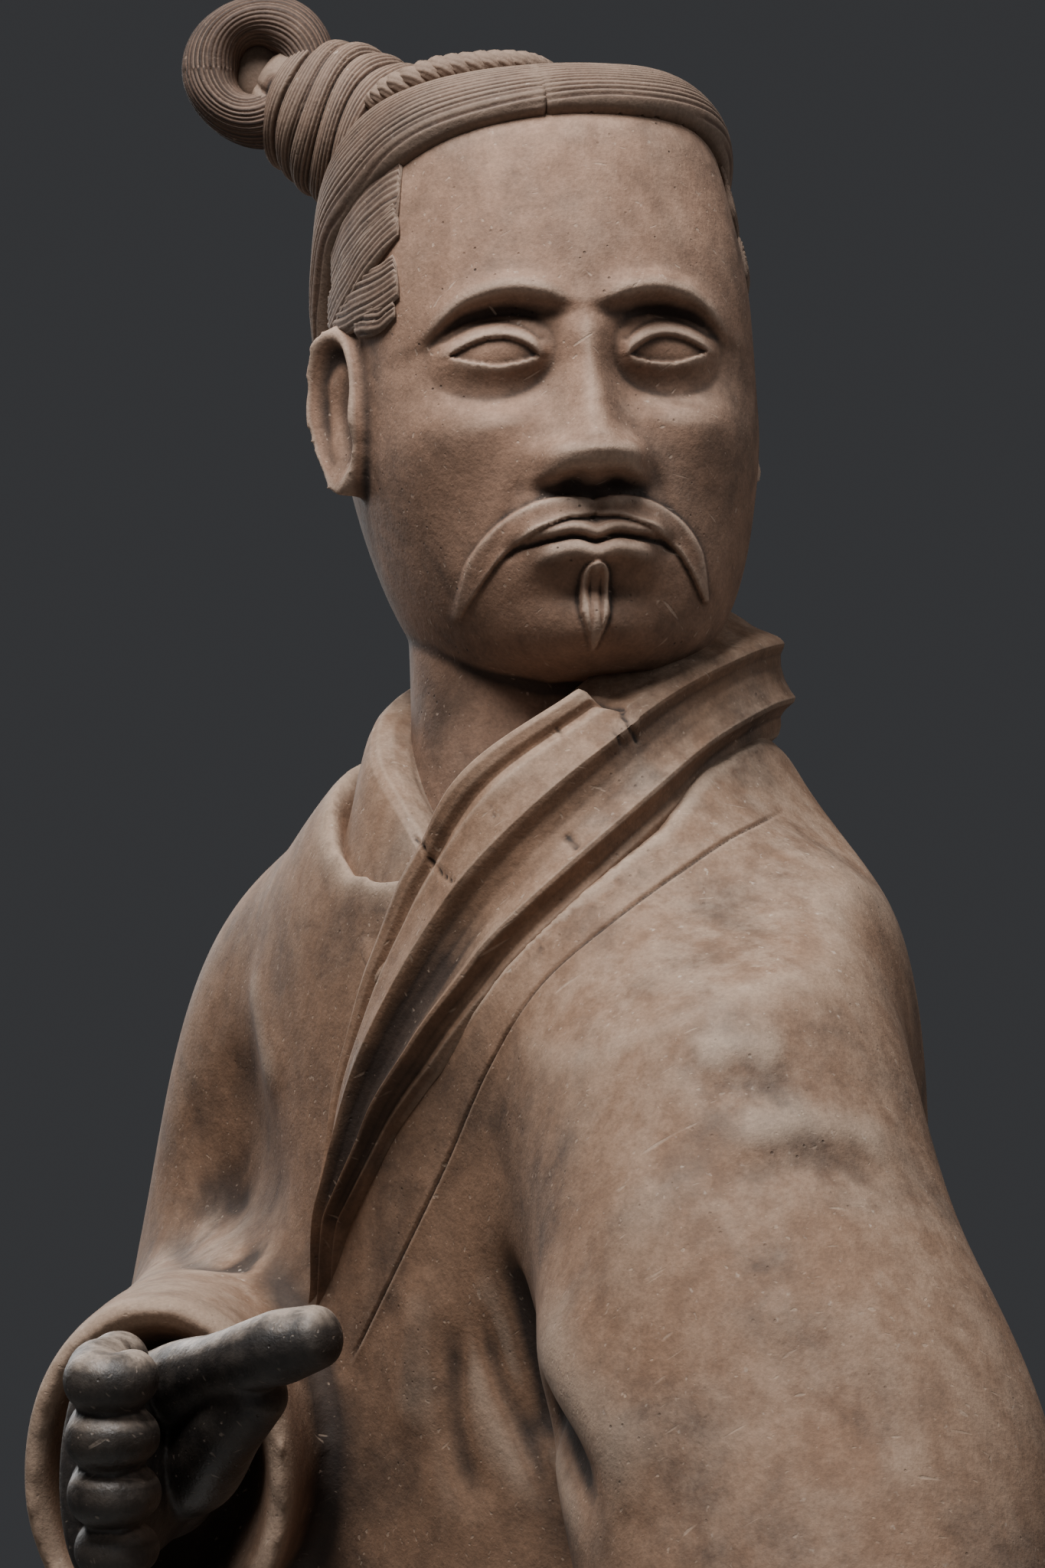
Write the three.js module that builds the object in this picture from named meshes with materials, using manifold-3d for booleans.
// Life-size terracotta standing archer in a crossed robe, head turned to its left, on a footplate.
// Millimetres, +Z up. The chest faces -Y and the figure's left side is +X.
// The origin is the centre of the footplate's underside.
import * as THREE from 'three';
import { mergeVertices } from 'three/addons/utils/BufferGeometryUtils.js';
import Module from 'manifold-3d';

const wasm = await Module();
wasm.setup();

// Driving dimensions
const FIGURE_HEIGHT = 1735; // soles to the top of the hair knot
const PLATE_WIDTH = 470;
const PLATE_DEPTH = 420;
const PLATE_THICKNESS = 50;
const PLATE_EDGE = 8; // chamfer of the plate's upper edge
const SEAT_GAP = 0.3; // between pieces that rest on each other
const FIT_CLEARANCE = 2; // round the neck and the wrists in their sockets
const NECK_RADIUS = 57;
const NECK_PLUG_DEPTH = 70; // how far the neck goes into the robe below the crossing of the collar
const WRIST_RADIUS = 22;
const WRIST_PLUG_DEPTH = 60; // how far a wrist goes into its sleeve
const CUFF_RECESS = 26; // how far the sleeve is hollow in front of the wrist socket
const JAW_CLEARANCE = 5; // between the jaw and the collar that it turns over

// The pose and the carving are shares of the figure's height, written as sizes on a 1735 mm figure.
const SHARE = FIGURE_HEIGHT / 1735;
const point = (x, y, z) => new THREE.Vector3(x, y, z).multiplyScalar(SHARE);
const turn = THREE.MathUtils.degToRad;
const upward = new THREE.Vector3(0, 0, 1);
const backward = new THREE.Vector3(0, 1, 0);

// Where the neck axis stands on the plate, so that both feet are on it
const STAND = point(-35, -2, 0);

// Turns a closed geometry into a solid that can be joined and cut.
function solid(geometry) {
  geometry.deleteAttribute('normal');
  geometry.deleteAttribute('uv');
  const merged = mergeVertices(geometry, 1e-3);
  const vertProperties = Float32Array.from(merged.attributes.position.array);
  const triVerts = Uint32Array.from(merged.index.array);
  return new wasm.Manifold(new wasm.Mesh({ numProp: 3, vertProperties, triVerts }));
}

// Turns a solid back into a named mesh with its material.
function piece(name, body, material) {
  const { vertProperties, triVerts, numProp } = body.getMesh();
  const geometry = new THREE.BufferGeometry();
  geometry.setAttribute('position', new THREE.BufferAttribute(Float32Array.from(vertProperties), numProp));
  geometry.setIndex(new THREE.BufferAttribute(Uint32Array.from(triVerts), 1));
  geometry.computeVertexNormals();
  const mesh = new THREE.Mesh(geometry, material);
  mesh.name = name;
  return mesh;
}

// A closed skin: a sphere whose rings and columns are moved to place(round, along), each from 0 to 1.
// The first and last rings are single points, so round is 0 there.
function skin(columns, rings, place) {
  const geometry = new THREE.SphereGeometry(1, columns, rings);
  const position = geometry.attributes.position;
  for (let ring = 0; ring <= rings; ring++) {
    for (let column = 0; column <= columns; column++) {
      const atEnd = ring === 0 || ring === rings;
      const round = atEnd ? 0 : (column % columns) / columns;
      const p = place(round, ring / rings);
      position.setXYZ(ring * (columns + 1) + column, p.x, p.y, p.z);
    }
  }
  return solid(geometry);
}

// Smooth value of one column of a profile at a fractional row.
function smooth(profile, row, column) {
  const last = profile.length - 1;
  const i = Math.min(Math.floor(row), last - 1);
  const t = row - i;
  const value = (k) => profile[THREE.MathUtils.clamp(k, 0, last)][column];
  const slopeIn = (value(i + 1) - value(i - 1)) / 2;
  const slopeOut = (value(i + 2) - value(i)) / 2;
  const rise = value(i + 1) - value(i);
  const bend = slopeIn + slopeOut - 2 * rise;
  return value(i) + t * (slopeIn + t * (3 * rise - 2 * slopeIn - slopeOut + t * bend));
}

// The fractional row of a profile, ordered from high to low, whose first column is this height.
function rowAt(profile, height) {
  let low = 0;
  let high = profile.length - 1;
  for (let halving = 0; halving < 30; halving++) {
    const middle = (low + high) / 2;
    if (smooth(profile, middle, 0) > height) low = middle;
    else high = middle;
  }
  return low;
}

const bump = (x, width) => Math.exp(-((x / width) ** 2));

// Rises smoothly from 0 to 1 as x goes from one value to another, in either direction.
function step(x, from, to) {
  const t = THREE.MathUtils.clamp((x - from) / (to - from), 0, 1);
  return t * t * (3 - 2 * t);
}

// Point of an oval ring. round 0 is the front (-Y) and a quarter is the left (+X).
function ovalPoint(round, z, halfWidth, front, back, middle, squareness) {
  const angle = round * 2 * Math.PI;
  const power = 2 / squareness;
  const across = Math.sign(Math.sin(angle)) * Math.abs(Math.sin(angle)) ** power;
  const ahead = Math.sign(Math.cos(angle)) * Math.abs(Math.cos(angle)) ** power;
  return new THREE.Vector3(halfWidth * across, middle - (ahead > 0 ? front : back) * ahead, z);
}

// Robe, from the neck to the hem: height, half width, front, back, middle
const ROBE = [
  [1476, 60, 50, 58, 4],
  [1467, 84, 66, 70, 1],
  [1449, 115, 74, 78, -2],
  [1414, 149, 82, 90, -2],
  [1372, 158, 88, 96, 2],
  [1318, 152, 92, 99, 7],
  [1245, 144, 94, 97, 11],
  [1150, 138, 92, 93, 14],
  [1045, 138, 94, 94, 14],
  [965, 156, 108, 106, 13],
  [860, 182, 128, 128, 12],
  [730, 206, 146, 146, 11],
  [600, 226, 160, 160, 10],
  [515, 236, 168, 168, 10],
];
const BELT_HEIGHT = 1045;
const HEM_HEIGHT = 515;
const SKIRT_FOLDS = 9;
const SKIRT_FOLD_DEPTH = 12;

// The robe's surface at a place round it and a row of its profile.
function robeAt(round, row, lift = 0) {
  const z = smooth(ROBE, row, 0);
  const below = THREE.MathUtils.clamp((BELT_HEIGHT - 20 - z) / (BELT_HEIGHT - HEM_HEIGHT), 0, 1);
  const wave = Math.cos(round * 2 * Math.PI * SKIRT_FOLDS + 1.5 * Math.sin(round * 4 * Math.PI));
  const fold = SKIRT_FOLD_DEPTH * Math.min(1, below * 1.5) * wave;
  const grow = fold + lift;
  return ovalPoint(
    round, z, smooth(ROBE, row, 1) + grow, smooth(ROBE, row, 2) + grow,
    smooth(ROBE, row, 3) + grow, smooth(ROBE, row, 4), 2.25,
  ).multiplyScalar(SHARE);
}

// The robe's surface at degrees to the figure's left of its front, and a height.
const onRobe = (degrees, height, lift = 0) => robeAt((degrees / 360 + 1) % 1, rowAt(ROBE, height), lift);

const HEM_WALL = 24;
const HEM_RECESS = 70;

function robe() {
  const rings = 20;
  const under = 3; // rings that turn in under the hem
  const last = ROBE.length - 1;
  return skin(32, rings, (round, along) => {
    const ring = Math.round(along * rings);
    if (ring === 0) return point(0, ROBE[0][4], ROBE[0][0]);
    if (ring === rings) return point(0, 10, HEM_HEIGHT + HEM_RECESS);
    if (ring <= rings - under) return robeAt(round, ((ring - 1) * last) / (rings - under - 1));
    const inner = robeAt(round, last, -HEM_WALL);
    inner.z += (ring === rings - under + 1 ? 0 : HEM_RECESS) * SHARE;
    return inner;
  });
}

// A limb: oval rings along a smooth curve, rounded at both ends.
// radius(t) gives the half sizes along `up` and across it.
function limb(points, radius, { columns = 14, rings = 10, up = upward, ends = [0.6, 0.6] } = {}) {
  const curve = new THREE.CatmullRomCurve3(points, false, 'centripetal');
  const cap = 2; // rings in each rounded end
  return skin(columns, rings, (round, along) => {
    const ring = Math.round(along * rings);
    const t = THREE.MathUtils.clamp((ring - cap) / (rings - 2 * cap), 0, 1);
    const atStart = ring < cap;
    const turnIn = atStart ? 1 - ring / cap : Math.max(0, (ring - rings + cap) / cap);
    const tangent = curve.getTangentAt(t);
    const side = new THREE.Vector3().crossVectors(up, tangent).normalize();
    const over = new THREE.Vector3().crossVectors(tangent, side);
    const [tall, wide] = radius(t);
    const shrink = Math.cos((turnIn * Math.PI) / 2);
    const reach = Math.sin((turnIn * Math.PI) / 2) * (atStart ? -ends[0] : ends[1]) * Math.min(tall, wide);
    const angle = round * 2 * Math.PI;
    return curve.getPointAt(t)
      .addScaledVector(tangent, reach * SHARE)
      .addScaledVector(over, Math.cos(angle) * tall * shrink * SHARE)
      .addScaledVector(side, Math.sin(angle) * wide * shrink * SHARE);
  });
}

// Arms: shoulders, elbows and the wrists at the cuffs
const LEFT = {
  shoulder: point(122, -26, 1364),
  elbow: point(214, -52, 1194),
  wrist: point(320, -133, 985),
};
const RIGHT = {
  shoulder: point(-128, -8, 1384),
  elbow: point(-204, 0, 1246),
  wrist: point(-18, -160, 1206),
};

function leftSleeve() {
  const inside = point(50, 0, 1388);
  const mid = point(170, -46, 1272);
  const points = [inside, LEFT.shoulder, mid, LEFT.elbow, LEFT.wrist];
  const sizes = [[62, 50], [70, 64], [80, 81], [66, 69], [56, 50]];
  return limb(points, (t) => [smooth(sizes, t * 4, 0), smooth(sizes, t * 4, 1)], {
    columns: 15, rings: 12, up: backward, ends: [0.4, 0.02],
  });
}

// The cloth that runs on from the chest to the left sleeve, down to the fold of the armpit
function chestCloth() {
  const points = [point(76, -32, 1398), point(104, -42, 1335), point(112, -42, 1272)];
  return limb(points, (t) => [50 - 6 * t, 46], { columns: 10, rings: 7, up: backward });
}

function rightSleeve() {
  const upper = limb([point(-55, 0, 1396), RIGHT.shoulder, RIGHT.elbow], (t) => [58, 60 - 2 * t], {
    columns: 13, rings: 9, up: backward, ends: [0.4, 0.75],
  });
  const lower = limb([RIGHT.elbow, RIGHT.wrist], (t) => [56 + 10 * t, 54 - 6 * t], {
    columns: 15, rings: 8, ends: [0.8, 0.02],
  });
  return upper.add(lower);
}

// Collar and lapels: the line in the middle of the band, from under the crossing, round the figure's
// right side and its back, over the left side and down across the chest to the right hip.
const COLLAR_LINE = [
  [22, -82, 1394], [0, -79, 1414], [-26, -68, 1436], [-50, -46, 1457], [-66, -12, 1474], [-68, 24, 1485],
  [-44, 58, 1493], [0, 72, 1496], [48, 58, 1494], [72, 26, 1486], [80, -10, 1472], [84, -42, 1454],
  [77, -66, 1434], [65, -77, 1416], [50, -81, 1400], [34, -84, 1381], [17, -85, 1361], [2, -86, 1340],
  [-8, -87, 1320], [-18, -88, 1300], [-40, -90, 1262], [-72, -83, 1205], [-100, -66, 1140], [-114, -54, 1085],
];
// Sections of the band, down its width and out of the cloth: plain round the neck, folded on the chest
const PLAIN_SECTION = [[-24, -14], [-25, 2], [-18, 7], [-8, 7], [4, 6], [16, 5], [24, 2], [25, -14]];
const LAPEL_SECTION = [[-29, -14], [-30, 5], [-20, 3], [-12, 7], [-4, 10], [8, 4], [18, 6], [28, -12]];

function collar() {
  const curve = new THREE.CatmullRomCurve3(COLLAR_LINE.map((p) => point(...p)), false, 'centripetal');
  const rings = 28;
  const sides = LAPEL_SECTION.length;
  return skin(sides, rings, (round, along) => {
    const ring = Math.round(along * rings);
    const t = THREE.MathUtils.clamp((ring - 1) / (rings - 2), 0, 1);
    const tangent = curve.getTangentAt(t);
    const centre = curve.getPointAt(t);
    if (ring === 0 || ring === rings) return centre;
    const lean = step(centre.z, 1440 * SHARE, 1380 * SHARE);
    const outward = new THREE.Vector3(centre.x, centre.y - 120 * SHARE * lean, 0).normalize();
    outward.z = 0.3;
    const across = new THREE.Vector3().crossVectors(outward, tangent).normalize();
    outward.crossVectors(tangent, across).normalize();
    const folded = step(t, 0.36, 0.52);
    const narrow = 1 - 0.55 * step(t, 0.66, 0.78);
    const side = Math.round(round * sides) % sides;
    const [plain, lapel] = [PLAIN_SECTION[side], LAPEL_SECTION[side]];
    const down = (plain[0] + (lapel[0] - plain[0]) * folded) * narrow;
    const out = plain[1] + (lapel[1] - plain[1]) * folded;
    return centre.addScaledVector(across, down * SHARE).addScaledVector(outward, out * SHARE);
  });
}

function belt() {
  const heights = [1066, 1064, 1045, 1026, 1024];
  const lifts = [-16, 6, 7, 6, -16];
  const rings = heights.length + 1;
  return skin(24, rings, (round, along) => {
    const ring = Math.round(along * rings);
    if (ring === 0) return point(0, 14, heights[0]);
    if (ring === rings) return point(0, 14, heights[rings - 2]);
    return onRobe(round * 360, heights[ring - 1], lifts[ring - 1]);
  });
}

// Legs: short trousers, wrapped shins and square-toed shoes
const FEET = [
  { at: point(122, -48, 0), heading: 42, knee: point(96, -22, 430) },
  { at: point(-100, 40, 0), heading: -14, knee: point(-88, 30, 430) },
];

function leg({ at, heading, knee }) {
  const ahead = new THREE.Vector3(Math.sin(turn(heading)), -Math.cos(turn(heading)), 0);
  const side = new THREE.Vector3(-ahead.y, ahead.x, 0);
  const ankle = at.clone().addScaledVector(ahead, -62 * SHARE).add(point(0, 0, 70));
  const thigh = knee.clone().add(point(0, 0, 180));
  const hem = knee.clone().add(point(0, 0, -75));
  const up = new THREE.Vector3(0, -1, 0);
  const shin = limb([ankle, knee], (t) => [42 + 22 * t, 40 + 20 * t], {
    columns: 10, rings: 7, up, ends: [0.7, 0.3],
  });
  const trouser = limb([hem, thigh], (t) => [88 - 6 * t, 84 - 6 * t], {
    columns: 10, rings: 6, up, ends: [0.06, 0.1],
  });
  // Rings of the shoe from its instep to its sole: height, half width, towards the toe, towards the heel
  const rings = [
    [74, 34, -18, 98], [56, 40, 20, 122], [34, 46, 118, 131], [14, 50, 134, 134], [0, 47, 131, 131],
  ];
  const shoe = skin(14, rings.length + 1, (round, along) => {
    const ring = Math.round(along * (rings.length + 1));
    if (ring === 0) return at.clone().addScaledVector(ahead, -62 * SHARE).add(point(0, 0, 80));
    if (ring === rings.length + 1) return at.clone();
    const [z, wide, toe, heel] = rings[ring - 1];
    const half = (toe + heel) / 2;
    const o = ovalPoint(round, z, wide, half, half, 0, 3.4);
    return at.clone().addScaledVector(side, o.x * SHARE)
      .addScaledVector(ahead, (-o.y + (toe - heel) / 2) * SHARE).add(point(0, 0, z));
  });
  return shin.add(trouser).add(shoe);
}

// A round cutter between two distances along an axis from a place.
function cutter(place, axis, from, to, radiusFrom, radiusTo, columns) {
  const geometry = new THREE.CylinderGeometry(radiusTo, radiusFrom, to - from, columns);
  geometry.applyQuaternion(new THREE.Quaternion().setFromUnitVectors(new THREE.Vector3(0, 1, 0), axis));
  const centre = place.clone().addScaledVector(axis, (from + to) / 2);
  return solid(geometry.translate(centre.x, centre.y, centre.z));
}

const CROSSING_HEIGHT = 1408; // lowest point of the neck opening
const socketFloor = CROSSING_HEIGHT * SHARE - NECK_PLUG_DEPTH;

// The neck opening: a bowl that leans down to the crossing of the collar, and the bore for the neck.
function neckOpening() {
  const lean = new THREE.Vector3(0.1, -0.42, 1).normalize();
  const bowl = cutter(point(3, -6, 1418), lean, -6 * SHARE, 100 * SHARE, 64 * SHARE, 82 * SHARE, 26);
  return bowl.add(neckBore());
}

function neckBore() {
  const radius = NECK_RADIUS + FIT_CLEARANCE;
  return cutter(new THREE.Vector3(), upward, socketFloor, 1620 * SHARE, radius, radius, 26);
}

// A wrist socket: the open mouth of the cuff, then the bore that the wrist stands in.
const armBack = ({ elbow, wrist }) => new THREE.Vector3().subVectors(elbow, wrist).normalize();

function cuffSocket(arm, mouth) {
  const bore = WRIST_RADIUS + FIT_CLEARANCE;
  const back = armBack(arm);
  const hollow = cutter(arm.wrist, back, -12 * SHARE, CUFF_RECESS, mouth * SHARE, bore + 8, 20);
  return hollow.add(cutter(arm.wrist, back, 0, CUFF_RECESS + WRIST_PLUG_DEPTH, bore, bore, 16));
}

function body() {
  let form = robe().add(leftSleeve()).add(chestCloth()).add(rightSleeve()).subtract(neckOpening());
  form = form.add(collar().subtract(neckBore())).add(belt());
  for (const foot of FEET) form = form.add(leg(foot));
  form = form.subtract(skull(20, 14, JAW_CLEARANCE));
  return form.subtract(cuffSocket(LEFT, 44)).subtract(cuffSocket(RIGHT, 47));
}

// Head. Its own frame has the face at -Y and z 0 on the line of the eyes.
const EYE_LINE = 1594;
const HEAD_TURN = 72; // degrees to the figure's left
const HEAD_LEAN = -4; // degrees, the chin towards the left shoulder
const HEAD_LIFT = -3; // degrees, the face a little raised
const HEAD_FRAME = new THREE.Matrix4().compose(
  point(0, -9, EYE_LINE),
  new THREE.Quaternion().setFromEuler(
    new THREE.Euler(turn(HEAD_LIFT), turn(HEAD_LEAN), turn(HEAD_TURN), 'ZXY'),
  ),
  new THREE.Vector3(SHARE, SHARE, SHARE),
);
const inFigure = (x, y, z) => new THREE.Vector3(x, y, z).applyMatrix4(HEAD_FRAME);
const headSkin = (columns, rings, place) => skin(columns, rings, (round, along) => (
  place(round, along).applyMatrix4(HEAD_FRAME)
));

// Skull: height, half width, front, back, middle
const SKULL = [
  [111, 31, 34, 38, -2],
  [102, 54, 60, 62, -3],
  [84, 65, 78, 82, -4],
  [54, 70, 86, 92, -5],
  [30, 72, 90, 95, -6],
  [10, 72, 91, 96, -6],
  [-8, 72, 87, 94, -7],
  [-26, 71, 86, 91, -8],
  [-48, 67, 86, 83, -8],
  [-70, 61, 85, 72, -8],
  [-88, 53, 82, 60, -8],
  [-102, 42, 75, 46, -8],
  [-110, 26, 61, 30, -8],
];
const CROWN = 113;
const CHIN = -112;

// How far the face stands out, seen from the front: brows, sockets, lids, nose, lips, beard and chin.
function faceRelief(x, z) {
  const ax = Math.abs(x);
  const brow = 4 * bump(z - 15 + (ax - 24) ** 2 / 160, 6) * bump(ax - 26, 24);
  const socket = -9 * bump(ax - 30, 17) * bump(z - 1, 12);
  const lid = 6.5 * bump(ax - 31, 12) * bump(z + 2, 6.5);
  const bridge = 5 + 17 * step(z, 16, -40);
  const noseWidth = 7.5 + 7 * step(z, -5, -40);
  const nose = bridge * bump(ax, noseWidth) * step(z, 20, 2) * step(z, -54, -45);
  const wing = 11 * bump(ax - 14, 7) * bump(z + 43, 7.5) * step(z, -55, -48);
  const cheek = 3.5 * bump(ax - 42, 18) * bump(z + 30, 20);
  const muzzle = 4 * bump(ax, 28) * bump(z + 70, 20);
  const moustache = 5 * step(ax, 44, 36) * bump(z + 59 + (ax / 9) ** 1.6, 5);
  const upperLip = 4 * bump(ax, 22) * bump(z + 68, 3.4);
  const lowerLip = 4.5 * bump(ax, 17) * bump(z + 76, 4);
  const underLip = -3.5 * bump(ax, 20) * bump(z + 85, 5);
  const tuft = 5 * bump(ax, 5) * step(z, -82, -86) * step(z, -104, -94);
  const chin = 5 * bump(ax, 19) * bump(z + 99, 10);
  return brow + socket + lid + nose + wing + cheek + muzzle + moustache + upperLip + lowerLip + underLip
    + tuft + chin;
}

// Squeezes the columns towards the face, so that it has the finer grid.
const faceward = (round) => round - 0.085 * Math.sin(round * 2 * Math.PI);

function skullAt(round, row, lift = 0) {
  const [z, wide, front, back, middle] = [0, 1, 2, 3, 4].map((column) => smooth(SKULL, row, column));
  return ovalPoint(round, z, wide + lift, front + lift, back + lift, middle, 2.25);
}

function skull(columns = 28, rings = 30, lift = 0) {
  const last = SKULL.length - 1;
  return headSkin(columns, rings, (round, along) => {
    const ring = Math.round(along * rings);
    if (ring === 0) return new THREE.Vector3(0, -2, CROWN);
    if (ring === rings) return new THREE.Vector3(0, -28, CHIN + 2 - lift);
    const p = skullAt(faceward(round), ((ring - 1) * last) / (rings - 2), lift);
    p.y -= faceRelief(p.x, p.z) * step(-p.y, 10, 55);
    return p;
  });
}

// Hair lies on the skull in two layers, each down to its own edge: degrees from the front towards the
// figure's left, height. The outer layer is combed lower on the right.
const OUTER_EDGE = [
  [-180, -60], [-140, -46], [-122, -12], [-108, 10], [-95, 30], [-80, 50], [-70, 60], [-58, 71], [-42, 79],
  [-20, 83], [0, 84], [25, 85], [45, 84], [60, 81], [73, 74], [85, 58], [100, 36], [115, 8], [135, -34],
  [180, -60],
];
const INNER_EDGE = [
  [-180, -70], [-125, -62], [-104, -16], [-90, 20], [-78, 4], [-68, 12], [-60, 46], [-50, 68], [0, 80],
  [50, 74], [62, 56], [70, 40], [84, 42], [96, 14], [104, -16], [125, -62], [180, -70],
];

function edgeHeight(edge, round) {
  const degrees = 360 * (round < 0.5 ? round : round - 1);
  const after = Math.max(1, edge.findIndex(([at]) => at >= degrees));
  const [[from, low], [to, high]] = [edge[after - 1], edge[after]];
  return low + ((high - low) * (degrees - from)) / (to - from);
}

function hairLayer(edge, lift, columns, rings) {
  const inside = rings - 2;
  return headSkin(columns, rings, (round, along) => {
    const ring = Math.round(along * rings);
    if (ring === 0) return new THREE.Vector3(0, -2, CROWN + lift);
    if (ring === rings) return new THREE.Vector3(0, 0, 0);
    const low = edgeHeight(edge, round);
    const height = SKULL[0][0] + (low - SKULL[0][0]) * Math.min(1, ring / inside) ** 1.4;
    return skullAt(round, rowAt(SKULL, height), ring > inside ? -12 : lift);
  });
}

// Topknot: a stem and a thick coil of hair, leaning back and to the figure's right.
const COIL_FACING = new THREE.Vector3(0.55, -0.83, 0.1).normalize();

function topknot() {
  const root = inFigure(-26, 24, 92);
  const neck = inFigure(-56, 44, 120);
  const bun = inFigure(-79, 60, 139);
  const stem = limb([root, neck, bun], (t) => {
    const size = 40 - 17 * Math.sin(t * Math.PI * 0.62) + 3 * t;
    return [size, size];
  }, { columns: 12, rings: 9, up: new THREE.Vector3(0, 1, 0.2), ends: [0.3, 0.3] });
  const coil = new THREE.TorusGeometry(19 * SHARE, 13.5 * SHARE, 8, 16);
  coil.applyQuaternion(new THREE.Quaternion().setFromUnitVectors(upward, COIL_FACING));
  coil.translate(bun.x, bun.y, bun.z);
  return stem.add(solid(coil));
}

function ear(side) {
  return headSkin(9, 5, (round, along) => {
    const angle = round * 2 * Math.PI;
    const rearward = -side * Math.sin(angle);
    const spread = Math.sin(along * Math.PI) ** 0.7;
    const out = along < 0.5 ? 7 - 6 * (1 - Math.min(1, along * 2.4)) : -16 * (along - 0.5);
    const wide = 19 - 5 * step(-Math.cos(angle), 0, 1);
    const x = 70 + out + 11 * spread * step(rearward, -0.6, 0.8);
    return new THREE.Vector3(side * x, 4 + rearward * wide * spread, -6 + Math.cos(angle) * 32 * spread);
  });
}

function neckPlug() {
  const foot = socketFloor + SEAT_GAP;
  return cutter(new THREE.Vector3(), upward, foot, 1530 * SHARE, NECK_RADIUS, NECK_RADIUS, 26);
}

function head() {
  const hair = hairLayer(INNER_EDGE, 3, 18, 7).add(hairLayer(OUTER_EDGE, 7.5, 24, 7)).add(topknot());
  return skull().add(neckPlug()).add(ear(1)).add(ear(-1)).add(hair);
}

// Hands. Their frame starts at the wrist: along the arm, towards the palm, and towards the thumb.
const FINGER_PITCH = 21;
const FINGER_SIZES = [[11, 1], [11, 1.05], [11, 1], [10, 0.88]]; // radius and share of the length

function hand(arm, palmward, fingerPath, thumbPath, offset) {
  const ahead = armBack(arm).negate();
  const up = new THREE.Vector3().crossVectors(palmward, ahead).normalize();
  if (up.z < 0) up.negate();
  const palm = new THREE.Vector3().crossVectors(ahead, up).normalize();
  if (palm.dot(palmward) < 0) palm.negate();
  const at = ([f, p, u]) => arm.wrist.clone().addScaledVector(ahead, (f + offset) * SHARE)
    .addScaledVector(palm, p * SHARE).addScaledVector(up, u * SHARE);
  const plugEnd = CUFF_RECESS + WRIST_PLUG_DEPTH - SEAT_GAP;
  const plug = cutter(arm.wrist, ahead, -plugEnd, (offset + 8) * SHARE, WRIST_RADIUS, WRIST_RADIUS, 16);
  let form = limb([at([8, -2, 0]), at([30, -4, 8]), at([66, -8, 18])], (t) => {
    const broad = 24 + 17 * Math.min(1, t * 1.6);
    return [broad, 17 - 2 * t];
  }, { columns: 10, rings: 7, up, ends: [0.5, 0.5] }).add(plug);
  FINGER_SIZES.forEach(([radius, length], finger) => {
    const height = FINGER_PITCH * (1.5 - finger) + 20;
    const path = fingerPath.map(([f, p]) => at([68 + (f - 68) * length, p * length, height]));
    form = form.add(limb(path, (t) => [radius, radius * (1 - 0.12 * t)], {
      columns: 6, rings: 7, up, ends: [0.6, 0.9],
    }));
  });
  return form.add(limb(thumbPath.map(at), (t) => [13.5 - 1.5 * t, 13 - 1.5 * t], {
    columns: 7, rings: 7, up: ahead, ends: [0.6, 0.8],
  }));
}

const rightHand = () => hand(
  RIGHT, new THREE.Vector3(0.66, 0.74, 0),
  [[60, -10], [88, -16], [100, -2], [96, 14], [78, 20]],
  [[30, 2, 40], [58, 18, 50], [74, 42, 58], [80, 68, 66]], -18,
);
const leftHand = () => hand(
  LEFT, new THREE.Vector3(-0.5, 0.2, 0),
  [[60, -8], [92, -8], [124, -2], [150, 8]],
  [[44, 8, 24], [60, 15, 44], [80, 20, 52], [100, 22, 55]], -18,
);

// The plate, with its upper edges chamfered
function plate() {
  const outline = new THREE.Shape();
  const halfWidth = PLATE_WIDTH / 2 - PLATE_EDGE;
  const halfDepth = PLATE_DEPTH / 2 - PLATE_EDGE;
  outline.moveTo(-halfWidth, -halfDepth);
  outline.lineTo(halfWidth, -halfDepth);
  outline.lineTo(halfWidth, halfDepth);
  outline.lineTo(-halfWidth, halfDepth);
  const geometry = new THREE.ExtrudeGeometry(outline, {
    depth: PLATE_THICKNESS - 2 * PLATE_EDGE,
    bevelSize: PLATE_EDGE,
    bevelThickness: PLATE_EDGE,
    bevelSegments: 1,
  });
  geometry.translate(0, 0, PLATE_EDGE);
  return solid(geometry);
}

const clay = (color) => new THREE.MeshStandardMaterial({ color, roughness: 0.85, metalness: 0 });

const figure = new THREE.Group();
figure.position.set(STAND.x, STAND.y, PLATE_THICKNESS + SEAT_GAP);
figure.add(piece('body', body(), clay(0x8a6a55)));
figure.add(piece('head', head(), clay(0x8f6f5a)));
figure.add(piece('right_hand', rightHand(), clay(0x2e2a28)));
figure.add(piece('left_hand', leftHand(), clay(0x5a473b)));

const statue = new THREE.Group();
statue.add(piece('footplate', plate(), clay(0x7c6252)), figure);
export default statue;
